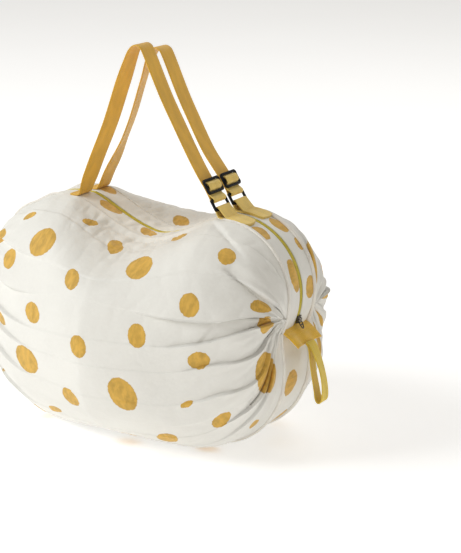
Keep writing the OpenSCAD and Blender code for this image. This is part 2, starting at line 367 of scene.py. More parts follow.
def settle(piece, slot, body_name, *nodes):
    """Hides the nodes the piece stands for and hangs it on the body that carries it. The finish's slot is not
    used.
    """
    if nodes:
        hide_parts(*nodes)
    if body_name:
        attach(piece, body_name)
    return piece


def unevenness(points, size, seed, waves=10):
    """Soft random relief between about -1 and 1, the same on each run."""
    draw = np.random.default_rng(seed)
    total = np.zeros(points.shape[:-1])
    for _ in range(waves):
        direction = draw.normal(size=points.shape[-1])
        direction *= 2 * math.pi / (size * draw.uniform(0.7, 1.6) * np.linalg.norm(direction))
        total += np.sin(points @ direction + draw.uniform(0, 2 * math.pi))
    return total / math.sqrt(waves / 2) / 1.6


def creased(points, size, seed):
    """Relief of crushed cloth, -1 to 0: smooth facets that meet in sharp valleys."""
    wide = np.abs(unevenness(points, size, seed))
    narrow = np.abs(unevenness(points, 0.8 * size, seed + 50))
    return np.minimum(wide, narrow) ** 0.7 - 1


def ease(value, low, high):
    """0 below low, 1 above high, smooth in between."""
    t = np.clip((value - low) / (high - low), 0, 1)
    return t * t * (3 - 2 * t)


# ---- shader tools ----
class Value:
    """A number that varies over a surface; arithmetic on it adds Math nodes."""

    def __init__(self, shader, socket):
        self.shader, self.socket = shader, socket

    def __add__(self, other):
        return self.shader.math("ADD", self, other)

    __radd__ = __add__

    def __mul__(self, other):
        return self.shader.math("MULTIPLY", self, other)

    __rmul__ = __mul__

    def __sub__(self, other):
        return self.shader.math("SUBTRACT", self, other)

    def __rsub__(self, other):
        return self.shader.math("SUBTRACT", other, self)

    def __truediv__(self, other):
        return self.shader.math("DIVIDE", self, other)

    def __pow__(self, other):
        return self.shader.math("POWER", self, other)


class Shader:
    """A material and the short calls that fill its node tree."""

    def __init__(self, name, **finish):
        self.material = bpy.data.materials.new(name)
        self.material.use_nodes = True
        self.tree = self.material.node_tree
        self.tree.nodes.clear()
        self.surface = self.add("ShaderNodeBsdfPrincipled", inputs=finish)
        self.add("ShaderNodeOutputMaterial", inputs={"Surface": self.surface.outputs[0]})

    def add(self, kind, settings=None, inputs=None):
        """One node: its type, its settings, then the values or links of its sockets."""
        node = self.tree.nodes.new(kind)
        for key, value in (settings or {}).items():
            if key == "stops":
                for place, tint in value:
                    node.color_ramp.elements.new(place).color = tint
                node.color_ramp.elements.remove(node.color_ramp.elements[0])
                node.color_ramp.elements.remove(node.color_ramp.elements[-1])
            else:
                setattr(node, key, value)
        self.feed(node, inputs or {})
        return node

    def feed(self, node, inputs):
        """Sets or links a node's sockets, by name or number."""
        for key, value in inputs.items():
            socket = node.inputs[key]
            value = value.socket if isinstance(value, Value) else value
            if isinstance(value, bpy.types.NodeSocket):
                self.tree.links.new(value, socket)
            else:
                socket.default_value = value

    def math(self, operation, *terms, clamp=False):
        node = self.add("ShaderNodeMath", {"operation": operation, "use_clamp": clamp},
                        dict(enumerate(terms)))
        return Value(self, node.outputs[0])

    def vector(self, operation, *terms):
        return self.add("ShaderNodeVectorMath", {"operation": operation}, dict(enumerate(terms)))

    def uv(self):
        return self.add("ShaderNodeUVMap", {"uv_map": "UVMap"}).outputs[0]

    def place(self):
        return self.add("ShaderNodeTexCoord").outputs["Object"]

    def split(self, vector):
        node = self.add("ShaderNodeSeparateXYZ", inputs={0: vector})
        return [Value(self, output) for output in node.outputs]

    def stretch(self, vector, scale):
        return self.vector("MULTIPLY", vector, scale).outputs[0]

    def noise(self, vector, scale, detail=2.0, roughness=0.5):
        node = self.add("ShaderNodeTexNoise", {},
                        {"Vector": vector, "Scale": scale, "Detail": detail, "Roughness": roughness})
        return Value(self, node.outputs["Fac"])

    def between(self, value, low, high, start=0.0, end=1.0):
        node = self.add("ShaderNodeMapRange", {"interpolation_type": "SMOOTHSTEP"},
                        {0: value, 1: low, 2: high, 3: start, 4: end})
        return Value(self, node.outputs[0])

    def mix(self, share, first, second, blend="MIX"):
        node = self.add("ShaderNodeMix", {"data_type": "RGBA", "blend_type": blend},
                        {0: share, 6: first, 7: second})
        return node.outputs[2]

    def bump(self, height, distance, strength=1.0):
        node = self.add("ShaderNodeBump", inputs={"Height": height, "Distance": distance,
                                                  "Strength": strength})
        self.feed(self.surface, {"Normal": node.outputs[0]})

    def finish(self, tint, rough=None):
        self.feed(self.surface, {"Base Color": tint})
        if rough is not None:
            self.feed(self.surface, {"Roughness": rough})
        return self.material


def shade(tint, factor):
    """A lighter or darker copy of a colour."""
    return (*[min(1.0, c * factor) for c in tint[:3]], 1.0)


def printed_cloth(name, spots):
    """Coated off-white cloth with painted spots: (along, down, long, short, tilt) in mm and degrees."""
    s = Shader(name, **{"IOR": 1.45, "Sheen Weight": 0.18, "Sheen Roughness": 0.45,
                        "Specular IOR Level": 0.35})
    uv = s.uv()
    grain = s.noise(uv, 260, 3)
    rough_edge = s.add("ShaderNodeTexNoise", {}, {"Vector": uv, "Scale": 300, "Detail": 3})
    shift = s.vector("SUBTRACT", rough_edge.outputs["Color"], (0.5, 0.5, 0.5)).outputs[0]
    shift = s.vector("SCALE", shift)
    shift.inputs["Scale"].default_value = 2.6 * MM
    painted = s.vector("ADD", uv, shift.outputs[0]).outputs[0]
    nearest = None
    for u, v, long, short, tilt in spots:
        at = s.add("ShaderNodeMapping", {"vector_type": "TEXTURE"},
                   {"Vector": painted, "Location": (u * MM, v * MM, 0),
                    "Rotation": (0, 0, math.radians(tilt)),
                    "Scale": (long / 2 * MM, short / 2 * MM, 1)})
        reach = Value(s, s.vector("LENGTH", at.outputs[0]).outputs["Value"])
        nearest = reach if nearest is None else s.math("MINIMUM", nearest, reach)
    strokes = s.noise(s.stretch(uv, (1.0, 0.45, 1.0)), 190, 4, 0.6)
    patches = s.noise(uv, 60, 2)
    mask = s.between(nearest + (grain - 0.5) * 0.05, 1.03, 0.975)
    gold = s.mix(s.between(strokes, 0.36, 0.66), shade(hue("print_gold"), 0.86),
                 shade(hue("print_gold"), 1.16))
    gold = s.mix(s.between(patches, 0.35, 0.7) * 0.45, gold, shade(hue("print_gold"), 1.3))
    edge = s.between(nearest, 0.86, 1.0) * 0.35
    gold = s.mix(edge, gold, shade(hue("print_gold"), 0.80))
    ground = s.mix(s.between(s.noise(uv, 14, 3), 0.35, 0.65), hue("cloth"), shade(hue("cloth"), 0.955))
    ground = s.mix(s.between(grain, 0.3, 0.7) * 0.25, ground, shade(hue("cloth"), 1.05))
    across, down = s.split(uv)[:2]
    thread_a = s.math("SINE", across * (2 * math.pi / (0.42 * MM)))
    thread_b = s.math("SINE", down * (2 * math.pi / (0.38 * MM)))
    crush = s.noise(s.place(), 55, 4, 0.62)
    fold = s.math("ABSOLUTE", s.noise(s.place(), 30, 3, 0.6) - 0.5)
    height = thread_a * thread_b * 0.012 + crush * 0.55 - fold * 1.5 + mask * 0.03
    s.bump(height, 1.5 * MM, 0.55)
    return s.finish(s.mix(mask, ground, gold), s.between(grain, 0.2, 0.8, 0.50, 0.62) + mask * 0.05)


def woven(name, tint, pitch, slant, rib=0.0, gloss=0.5, edge=0.011, edge_darkening=0.3):
    """Woven tape: twill lines across its own map, with ribs along it when rib is set."""
    s = Shader(name, **{"IOR": 1.5, "Sheen Weight": 0.25, "Sheen Roughness": 0.4,
                        "Specular IOR Level": 0.4})
    uv = s.uv()
    length, across = s.split(uv)[:2]
    wobble = (s.noise(uv, 900, 2) - 0.5) * 0.9
    yarn = s.math("SINE", (length + across * slant) * (2 * math.pi / pitch) + wobble)
    cross = s.math("SINE", (length - across * slant * 0.35) * (2 * math.pi / (pitch * 0.52)) + wobble)
    height = yarn * 0.30 + cross * 0.12
    if rib:
        height = height + s.math("SINE", across * (2 * math.pi / rib)) * 0.55
    fuzz = s.noise(uv, 1500, 2)
    height = height + (fuzz - 0.5) * 0.25
    selvedge = s.between(s.math("ABSOLUTE", across), edge * 0.86, edge)
    base = s.mix(s.between(s.noise(s.stretch(uv, (1, 3.0, 1)), 34, 3), 0.35, 0.68), shade(tint, 0.93),
                 shade(tint, 1.08))
    # Painted shade: the colour is darker where the twill's yarns dip, in the grooves between them
    base = s.mix(s.between(yarn, -0.9, 0.5, 0.34, 0.0), base, shade(tint, 0.62))
    # Darker along both edges of the tape
    base = s.mix(selvedge * edge_darkening, base, shade(tint, 0.72))
    base = s.mix(s.between(fuzz, 0.55, 0.8) * 0.22, base, shade(tint, 1.35))
    s.bump(height, 0.28 * MM, 0.8)
    return s.finish(base, s.between(fuzz, 0.2, 0.8, gloss, gloss + 0.16))


def thread_finish(name, tint):
    """Twisted sewing thread."""
    s = Shader(name, **{"Sheen Weight": 0.2})
    across = s.split(s.place())[0]
    ply = s.math("SINE", across * (2 * math.pi / (0.5 * MM)))
    spread = s.noise(s.place(), 700, 2)
    s.bump(ply, 0.08 * MM, 0.6)
    return s.finish(s.mix(spread, shade(tint, 0.85), shade(tint, 1.12)), s.between(spread, 0, 1, 0.45, 0.62))


def moulded(name, tint):
    """Glossy moulded plastic with a faint skin and rubbed edges."""
    s = Shader(name, **{"IOR": 1.45, "Specular IOR Level": 0.16, "Coat Weight": 0.03, "Coat Roughness": 0.2})
    skin = s.noise(s.place(), 900, 3)
    cloud = s.noise(s.place(), 70, 3)
    scuff = s.between(s.noise(s.stretch(s.place(), (1, 4, 1)), 420, 4, 0.7), 0.60, 0.74)
    s.bump(skin * 0.6 + cloud * 0.4, 0.12 * MM, 0.35)
    tone = s.mix(s.between(cloud, 0.3, 0.7) * 0.5, tint, shade(tint, 1.6))
    tone = s.mix(scuff * 0.12, tone, (0.06, 0.06, 0.06, 1))
    return s.finish(tone, s.between(cloud, 0.3, 0.7, 0.26, 0.38) + scuff * 0.15)


def cast_metal(name, tint):
    """Dark plated zinc with rubbed spots."""
    s = Shader(name, **{"Metallic": 1.0})
    cloud = s.noise(s.place(), 350, 3)
    rub = s.between(s.noise(s.place(), 900, 3), 0.52, 0.70)
    s.bump(cloud, 0.10 * MM, 0.4)
    return s.finish(s.mix(rub * 0.6, tint, shade(tint, 3.6)), s.between(cloud, 0.3, 0.7, 0.26, 0.44))


def coil_plastic(name, tint):
    """Nylon of the zip's teeth."""
    s = Shader(name, **{"IOR": 1.5, "Coat Weight": 0.2})
    cloud = s.noise(s.place(), 260, 3)
    s.bump(cloud, 0.10 * MM, 0.3)
    tone = s.mix(cloud, shade(tint, 0.85), shade(tint, 1.15))
    return s.finish(tone, s.between(cloud, 0.3, 0.7, 0.32, 0.45))


def floor_finish(name):
    """Matt pale paper."""
    s = Shader(name, **{"Specular IOR Level": 0.1, "Emission Color": (1, 1, 1, 1),
                        "Emission Strength": 0.34})
    grain = s.noise(s.place(), 3, 2)
    tone = s.mix(grain, (0.93, 0.93, 0.93, 1), (0.95, 0.95, 0.95, 1))
    return s.finish(tone, s.between(grain, 0, 1, 0.85, 0.95))


# ---- the cloth body ----
# Fold lines of the pressed cloth, which turn into pleats at the gathered ends. Each has its depth below
# the top seam, in mm: over the left shoulder, in the middle, over the right shoulder, by the right gather.
FOLD_LINES = [(50, 45, 40, 25), (110, 100, 95, 100), (150, 125, 150, 140), (180, 170, 170, 160),
              (205, 200, 200, 225), (235, 240, 240, 280), (265, 270, 270, 295), (290, 300, 290, 310),
              (320, 330, 315, 330)]
STATIONS = np.array([-262, -140, 0, 160, 220, 262]) * MM
FOLD_STEP = 39


def fold_depths(which):
    """Depth of each fold line at the stations, in metres. At both ends of the bag they lie evenly."""
    wander = 4 if which == "rear" else 0
    for k, line in enumerate(FOLD_LINES):
        depths = np.array([30 + FOLD_STEP * k, *line, 25 + FOLD_STEP * k])
        yield (depths + wander * np.sin(0.9 * k + 1.3 * np.arange(len(depths)))) * MM


# Each fold: relief at the left end and at the right end (share of the pleat depth), where the right
# pleat fades out (mm from the middle), and which side of the line stands out (1 below, -1 above)
FOLDS = [(0.3, 0.3, 150, 1), (0.6, 0.9, 140, -1), (0.9, 1.0, 50, -1), (0.9, 1.1, 80, 1), (0.8, 0.7, 100, 1),
         (0.9, 0.8, 95, 1), (0.6, 0.5, 130, -1), (0.8, 2.2, 140, 1), (0.6, 0.6, 120, 1)]


# Single creases of the panels: start and end (along, down, in mm), depth and width (mm)
DENTS = {"front": [(120, 10, 180, 60, 5.0, 12), (210, 110, 160, 90, 4.5, 16), (140, 170, 160, 150, 1.6, 6),
                   (180, 150, 190, 130, 1.4, 5), (200, 50, 220, 10, 1.6, 8), (30, 60, -10, 70, 1.5, 9)]}


def dent_depth(flat, u0, v0, u1, v1, depth, width):
    """A dent on the right of a line from start to end, with a sharp edge along the line."""
    way = np.array([u1 - u0, v1 - v0]) * MM
    span = np.linalg.norm(way)
    ahead = way / span
    off = flat - np.array([u0, v0]) * MM
    t = off @ ahead / span
    side = off @ np.array([-ahead[1], ahead[0]])
    fall = ease(side, -1.2 * MM, 1.6 * MM) * np.exp(-np.maximum(side, 0) / (width * MM))
    return depth * MM * fall * ease(t, -0.15, 0.15) * ease(-t, -1.15, -0.8)


def seam_lines():
    """Upper and lower seam of a panel. They meet at the gathered ends, above the end tabs."""
    top, base = even(top_line(), 2 * MM), even(base_line(), 2 * MM)
    cut = round(body().gather_up / (2 * MM))
    return top[cut:-cut], np.vstack([top[cut:0:-1], base, top[-2:-cut - 2:-1]])


# How full each panel is: along the bag, over the top, under the base, and how near the seam it sags
FULLNESS = {"front": (1.35, 2.0, 2.5, 2), "rear": (1.2, 2.0, 2.2, 8)}


def panel_shape(which, seams, f, a):
    """Smooth shape of a panel, as if in front: f runs along the bag, a down the girth from 0 to pi."""
    long, over, under, sag_power = FULLNESS[which]
    top, base = seams
    p = along(top, f * lengths(top)[-1])
    q = along(base, f * lengths(base)[-1])
    sag = sag_at(p[..., 0])
    full = p[..., 1] + np.where(p[..., 1] > END_CENTRE.z, sag, 0)
    half = np.maximum(0.5 * MM, (full - q[..., 1]) / 2)
    out = np.maximum(1 * MM, 0.985 * BULGE * np.maximum(0, 1 - np.abs(2 * f - 1) ** long) ** (1 / long))
    c = np.cos(a)
    power = np.where(c > 0, 2 / over, 2 / under)
    x = q[..., 0] + (p[..., 0] - q[..., 0]) * (1 + c) / 2
    y = -HALF_STRIP - out * np.abs(np.sin(a)) ** power
    z = (full + q[..., 1]) / 2 + half * np.sign(c) * np.abs(c) ** power
    z -= (full - p[..., 1]) * np.maximum(0, c) ** sag_power + 8 * MM * np.sin(a) ** 2 * np.maximum(0, c)
    return np.stack([x, y, z], axis=-1)


def panel_map(which, seams):
    """Even scales: f for each distance along the middle line, a for each distance down the girth."""
    f = np.linspace(0.003, 0.997, 600)
    a = np.linspace(0, math.pi, 400)
    u = lengths(panel_shape(which, seams, f, np.full_like(f, math.pi / 2)))
    v = lengths(panel_shape(which, seams, np.full_like(a, 0.5), a))
    return f, u - np.interp(0.5, f, u), a, v


def surface_normals(places):
    across = np.cross(np.gradient(places, axis=0), np.gradient(places, axis=1))
    size = np.linalg.norm(across, axis=-1, keepdims=True)
    return across / np.maximum(size, 1e-12)


def fold_rows(which, u, girth, rows_each):
    """How far down the girth each row of the cloth lies. Rows are closer at the fold lines."""
    knots = [np.zeros_like(u)]
    for depths in fold_depths(which):
        line = np.interp(u, STATIONS, depths)
        knots.append(np.convolve(np.pad(line, 6, mode="edge"), np.ones(13) / 13, "valid"))
    knots.append(np.full_like(u, girth))
    lip = 0.45 * MM
    steps = np.linspace(0, 1, rows_each + 1)
    rows = []
    for k, (upper, lower) in enumerate(zip(knots, knots[1:])):
        start = upper + (lip if k else 0)
        end = lower - (lip if k < len(FOLD_LINES) else 0)
        for t in 0.55 * steps + 0.45 * (0.5 - 0.5 * np.cos(math.pi * steps)):
            rows.append(start + (end - start) * t)
    return np.stack(rows, axis=1)


def pleat_relief(u, run, rows_each):
    """Height of the pleats: flat facets from fold line to fold line, with a rim at each."""
    below, above = [np.zeros_like(u)], []
    for left, right, fade, stands in FOLDS:
        rise = right * ease(u, fade * MM, (fade + 60) * MM) + left * ease(-u, 70 * MM, 150 * MM) + 0.12
        rise *= body().pleat * (1 + 0.9 * ease(np.abs(u), 180 * MM, 235 * MM))
        below.append(rise if stands > 0 else -0.55 * rise)
        above.append(-0.55 * rise if stands > 0 else rise)
    above.append(np.zeros_like(u))
    facets = []
    for k, (upper, lower) in enumerate(zip(below, above)):
        near = run[:, k * (rows_each + 1):(k + 1) * (rows_each + 1)]
        near = near - near[:, :1]
        wide = near[:, -1:]
        share = near / np.maximum(wide, 1e-9)
        facet = (upper[:, None] * (1 - share + 0.35 * np.exp(-near / (4 * MM)))
                 + lower[:, None] * (share + 0.35 * np.exp(-(wide - near) / (4 * MM))))
        facets.append(np.minimum(1, wide / (22 * MM)) * facet)
    return np.concatenate(facets, axis=1)


def crumple(which, flat, seam):
    """Soft waves and crushed creases, deeper in the valley and at the gathers, and single dents."""
    seed = 11 if which == "front" else 29
    u, v = flat[..., 0], flat[..., 1]
    ends = ease(np.abs(u), 90 * MM, 240 * MM)
    height = ends * 0.9 * MM * unevenness(flat * [0.3, 1.0], 15 * MM, seed) * ease(seam, 0, 20 * MM)
    height += 1.3 * MM * unevenness(flat, 95 * MM, seed + 1) - 1 * MM
    height += creased(flat, 60 * MM, seed + 2) * (0.5 + 0.8 * ends) * MM
    valley = np.exp(-((u - 5 * MM) / (85 * MM)) ** 2 - (v / (60 * MM)) ** 2)
    height += valley * (4.5 * MM * creased(flat * [1.0, 0.5], 34 * MM, seed + 3)
                        + 2.2 * MM * creased(flat * [0.5, 1.0], 22 * MM, seed + 4))
    for dent in DENTS.get(which, ()):
        height -= dent_depth(flat, *dent)
    return height


def panel_grid(which, columns=250, rows_each=15):
    """Places and map of one side panel's pleated cloth."""
    seams = seam_lines()
    f_of, u_of, a_of, v_of = panel_map(which, seams)
    u = np.linspace(u_of[0], u_of[-1], columns + 1)
    v = fold_rows(which, u, v_of[-1], rows_each)
    flat = np.stack([np.broadcast_to(u[:, None], v.shape), v], axis=-1)
    base = panel_shape(which, seams, np.interp(flat[..., 0], u_of, f_of), np.interp(v, v_of, a_of))
    normal = surface_normals(base)
    if normal[columns // 2, v.shape[1] // 2, 1] > 0:
        normal = -normal
    step = np.linalg.norm(np.diff(base, axis=1), axis=-1)
    run = np.concatenate([np.zeros((columns + 1, 1)), np.cumsum(step, axis=1)], axis=1)
    seam = np.minimum(run, run[:, -1:] - run)
    height = pleat_relief(u, run, rows_each) + crumple(which, flat, seam)
    places = base + normal * (height * ease(seam, 0, 9 * MM))[..., None]
    places[..., 2] = np.maximum(places[..., 2], 0.8 * MM)
    return places, flat


def add_solidify(piece, thick):
    wall = piece.modifiers.new("Cloth thickness", "SOLIDIFY")
    wall.thickness = thick
    wall.offset = -1
    wall.use_quality_normals = True


# Painted spots of the front: for each stock size (long, short) the places (along, down) and the turn
FRONT_SPOTS = {
    (42, 31): [(-100, 90, -30), (50, 80, 45), (-90, 220, 15), (50, 230, 75)],
    (31, 20): [(-10, 40, 60), (-80, 160, 15), (70, 20, 45), (210, 120, -45), (80, 300, -45), (-150, 190, 15),
               (-200, 160, 30), (-210, 240, 75)],
    (26, 21): [(-30, 110, 45), (160, 70, 90), (130, 130, 45), (70, 160, 75), (0, 180, 75), (140, 190, 30),
               (-20, 250, 45), (150, 280, -45), (20, 330, 15), (-100, 330, 60), (100, 360, 0),
               (-150, 120, 45), (-190, 90, 75), (-160, 280, 45), (-30, 380, 15), (-130, 380, 75)],
    (22, 12): [(-150, 60, -15), (-60, 30, -45), (-60, 290, -15), (170, 340, -90)],
    (15, 7): [(120, 240, -15)],
    (50, 22): [(220, 160, 90)],
    (110, 26): [(210, 290, 90)],
}
STRIP_SPOTS = {
    "front": {(30, 21): [(-60, -10, 15), (-150, -20, 30), (-220, -10, 15)],
              (24, 18): [(0, -15, -30), (160, -20, 0)],
              (38, 20): [(220, -10, 0)]},
    "rear": {(26, 19): [(160, 20, 15), (-90, 20, 15), (-190, 15, 45), (240, 20, 0)],
             (16, 12): [(190, 25, 0)]},
}


def laid_out(spots):
    """Spots of stock sizes as a plain list: along, down, long, short and turn."""
    return [(u, v, *size, turn) for size, places in spots.items() for u, v, turn in places]


def scattered_spots(seed, width, height, pitch):
    """Spots on a loose grid, for cloth that has no laid-out ones."""
    draw = np.random.default_rng(seed)
    spots = []
    for i, u in enumerate(np.arange(-width / 2, width / 2, pitch)):
        for v in np.arange((i % 2) * pitch / 2 + pitch / 3, height, pitch):
            size = draw.choice([22, 26, 36])
            spots.append((u + draw.uniform(-9, 9), v + draw.uniform(-9, 9),
                          size, size * draw.uniform(0.7, 0.95), draw.uniform(-90, 90)))
    return spots


class TOTE_OT_panels(bpy.types.Operator):
    """Build the two pleated side panels"""

    bl_idname = "tote.panels"
    bl_label = "Side panels"

    def execute(self, context):
        rest = [(u, v, *spot) for u, v, *spot in scattered_spots(5, 480, 400, 76) if v > 60 or abs(u) > 90]
        spots = {"front": laid_out(FRONT_SPOTS), "rear": [(0, 25, 31, 20, -45)] + rest}
        for which, side in SIDES.items():
            places, flat = panel_grid(which)
            places[..., 1] *= -side
            work = bmesh.new()
            lay_grid(work, places, flat, flip=side < 0)
            piece = new_piece(which + "_cloth", work, printed_cloth(which + "_printed_cloth", spots[which]))
            add_solidify(piece, body().cloth)
            settle(piece, "printed_fabric", "bag", which + "_panel")
        return {"FINISHED"}


def strip_piece(name, path, edges, spots, pucker, seed):
    """A strip of the same cloth along a path, from one y to another, puckered in the valley."""
    line = even(path, 2.2 * MM)
    out = outward(line)
    run = lengths(line) - lengths(line)[-1] / 2
    ys = np.linspace(edges[0], edges[1], max(8, round(abs(edges[1] - edges[0]) / (2.2 * MM))))
    grid = np.stack(np.broadcast_arrays(run[:, None], ys[None, :]), axis=-1) + 0.0
    share = (ys - edges[0]) / (edges[1] - edges[0])
    inner = (np.sin(math.pi * share) ** 0.7)[None, :]
    valley = sag_at(line[:, 0])[:, None] / body().sag
    height = pucker * valley * (creased(grid * [1.0, 0.4], 22 * MM, 41) + 0.4) * inner
    height += 0.5 * MM * unevenness(grid, 26 * MM, seed) * inner + 0.7 * MM * inner
    places = upright(line)[:, None] + np.zeros((1, len(ys), 1))
    places[..., 1] = ys[None, :]
    places[..., 0] += out[:, :1] * height
    places[..., 2] = np.maximum(places[..., 2] + out[:, 1:] * height, 0.4 * MM)
    work = bmesh.new()
    normal = surface_normals(places)[len(line) // 2, len(ys) // 2]
    flip = float(normal[0] * out[len(line) // 2][0] + normal[2] * out[len(line) // 2][1]) > 0
    lay_grid(work, places, grid, flip=flip)
    piece = new_piece(name, work, printed_cloth(name + "_print", spots))
    add_solidify(piece, body().cloth)
    return piece


class TOTE_OT_strips(bpy.types.Operator):
    """Build the strip of cloth that runs round the bag, in two halves above and one below"""

    bl_idname = "tote.strips"
    bl_label = "Strips"

    def execute(self, context):
        slot = 3.5 * MM
        for which, side in SIDES.items():
            piece = strip_piece("top_cloth_" + which, top_line(), (side * HALF_STRIP, side * slot),
                                laid_out(STRIP_SPOTS[which]), 3.4 * MM, 50 + side)
            settle(piece, "printed_fabric", "bag", "top_strip_" + which)
        low = [(u, v, 26 + 6 * (k % 3), 22 + 4 * (k % 2), 25 * k) for k, (u, v) in enumerate(
            [(205, 14), (150, -12), (90, 12), (30, -16), (-40, 10), (-100, -14), (-170, 12), (-230, -10)])]
        piece = strip_piece("bottom_cloth", base_line()[::-1], (-HALF_STRIP, HALF_STRIP), low, 0, 61)
        settle(piece, "printed_fabric", "bag", "bottom_strip")
        return {"FINISHED"}


class TOTE_OT_binding(bpy.types.Operator):
    """Build the bound seams between the panels and the strip"""

    bl_idname = "tote.binding"
    bl_label = "Seam binding"

    def execute(self, context):
        material = woven("seam_binding_cloth", hue("binding"), 0.8 * MM, 0.6, gloss=0.6, edge=9 * MM)
        for which, side in SIDES.items():
            work = bmesh.new()
            for path in (top_line(), base_line()[::-1]):
                line = even(path, 3 * MM)
                out = outward(line)
                ends = ease(np.abs(line[:, 0]), 90 * MM, 130 * MM)
                for shift, lift, size in ((0.0, 1.0, 2.0), (-1.9, 0.7, 1.7)):
                    rise = (lift - 1.2 + 1.6 * ends) * MM
                    centre = upright(line + out * rise[:, None], side * (HALF_STRIP + shift * MM))
                    centre[:, 2] = np.maximum(centre[:, 2], 2.2 * MM)
                    wander = unevenness(np.column_stack([lengths(line)]), 60 * MM, 7 + side)
                    centre[:, 1] += side * wander * 0.35 * MM
                    add_sweep(work, centre, (0, 1, 0), round_profile(size * MM, size * MM, 8),
                              swell=0.45 + 1.25 * ends)
            piece = new_piece("seam_binding_" + which, work, material)
            settle(piece, "seam_binding", "bag", "piping_" + which)
        return {"FINISHED"}


# ---- zip ----
def zip_line():
    """The zip follows the strip and stops short of the end tabs."""
    return even(top_line(), 1 * MM)[4:-4]


def standing(out):
    """The turn that stands a piece of the zip on the arc, its up side outwards."""
    return Matrix(((out.z, 0, -out.x), (0, 1, 0), out)).transposed().to_4x4()


class TOTE_OT_zip(bpy.types.Operator):
    """Build the zip: tapes, teeth, end clamps, slider and pull"""

    bl_idname = "tote.zip"
    bl_label = "Zip"

    def execute(self, context):
        tape_finish = woven("zip_tape_weave", hue("zip"), 0.9 * MM, 0.0, rib=1.1 * MM, gloss=0.5, edge=0.02)
        tooth_finish = coil_plastic("zip_teeth_nylon", hue("zip"))
        line = zip_line()
        out = outward(line)
        for which, side in SIDES.items():
            sparse = even(line, 3 * MM)
            centre = upright(sparse - outward(sparse) * 1.6 * MM, side * (straps().tape_w / 2 + 0.4 * MM))
            tape = swept("zip_tape_cloth_" + which, centre, flat_profile(straps().tape_w, 0.7 * MM, 6),
                         tape_finish)
            settle(tape, "zip_tape", "bag", "zip_tape_" + which)
            work = bmesh.new()
            pitch = 1.3 * MM
            count = int(lengths(line)[-1] / pitch)
            tooth = bead((0.42 * MM, 1.5 * MM, 0.75 * MM))
            for k in range(count):
                at = along(line, (k + (0.25 if side < 0 else 0.75)) * pitch)
                i = min(len(line) - 1, round((k + 0.5) * pitch / MM))
                at = at - out[i] * 0.55 * MM
                up = Vector((out[i, 0], 0, out[i, 1]))
                stamp(work, tooth, Matrix.Translation((at[0], side * 1.25 * MM, at[1])) @ standing(up))
            bpy.data.meshes.remove(tooth)
            teeth = new_piece("zip_teeth_" + which, work, tooth_finish)
            settle(teeth, "zip_coil", "bag", "zip_coil_" + which)
        self.metal()
        return {"FINISHED"}

    def metal(self):
        """Slider, pull and the clamps at both ends of the zip."""
        metal = cast_metal("zip_metal", hue("metal"))
        reach = PULL_PIVOT - END_CENTRE
        out = Vector((reach.x, 0, reach.z)).normalized()
        ahead = Vector((out.z, 0, -out.x))
        place = standing(out)
        centre = END_CENTRE + out * END_R
        work = bmesh.new()
        add_block(work, Matrix.Translation(centre + out * 1.4 * MM) @ place, (10 * MM, 8 * MM, 1.7 * MM),
                  0.6 * MM, taper=0.62)
        bridge = [centre + out * h * MM + ahead * s * MM for s, h in
                  ((-3.7, 2.0), (-3.6, 3.6), (-2.6, 4.7), (0, 5.0), (2.6, 4.7), (3.6, 3.6), (3.7, 2.0))]
        add_sweep(work, smooth(bridge, 0.5 * MM), (0, 1, 0), round_profile(2.6 * MM, 0.9 * MM, 10))
        slider = new_piece("zip_slider_body", work, metal)
        settle(slider, "slider_metal", "slider_body", "zip_slider")
        low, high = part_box("zip_pull")
        down = (Vector((high.x, 0, low.z)) - PULL_PIVOT).normalized()
        work = bmesh.new()
        add_pull(work, down, Vector((down.z, 0, -down.x)))
        pull = new_piece("zip_pull_tag", work, metal)
        settle(pull, "slider_metal", "pull_body", "zip_pull")
        work = bmesh.new()
        clamp = math.radians(TAB_ANGLE - 0.9)
        for sign in (1, -1):
            out = Vector((math.cos(clamp) * sign, 0, -math.sin(clamp)))
            middle = Vector((END_CENTRE.x * sign, 0, END_CENTRE.z)) + out * (END_R - 0.4 * MM)
            add_block(work, Matrix.Translation(middle) @ standing(out), (1.8 * MM, 6 * MM, 2 * MM), 0.4 * MM)
        clamps = new_piece("zip_end_clamps", work, metal)
        settle(clamps, "slider_metal", "bag", "zip_stops")


def add_block(work, place, size, round_by, taper=1.0):
    """A block with rounded edges, narrower at its far end when taper is under 1."""
    made = bmesh.ops.create_cube(work, size=1)["verts"]
    for vert in made:
        if vert.co.x > 0:
            vert.co.y *= taper
        vert.co = Vector(vert.co[k] * size[k] for k in range(3))
    edges = list({e for v in made for e in v.link_edges})
    made = round_off(work, edges, round_by, 3) + [v for v in made if v.is_valid]
    bmesh.ops.transform(work, matrix=place, verts=list(set(made)))


def add_pull(work, down, face):
    """The pull: an eye round the slider's bridge and a small tag with a hole."""
    across = Vector((0, 1, 0))
    turn = np.radians(np.linspace(0, 360, 29))
    rim = [PULL_PIVOT + down * (4.6 + (5.2 if math.cos(t) > 0 else 4.9) * math.cos(t)) * MM
           + across * (2.9 - 0.5 * math.cos(t)) * math.sin(t) * MM for t in turn]
    add_sweep(work, [list(p) for p in rim], tuple(face), round_profile(1.3 * MM, 1.3 * MM, 8), loop=True)
    bar = [PULL_PIVOT + down * 5.4 * MM + across * s * MM for s in (-2.9, -1, 1, 2.9)]
    add_sweep(work, [list(p) for p in bar], tuple(face), round_profile(1.2 * MM, 1.6 * MM, 8))


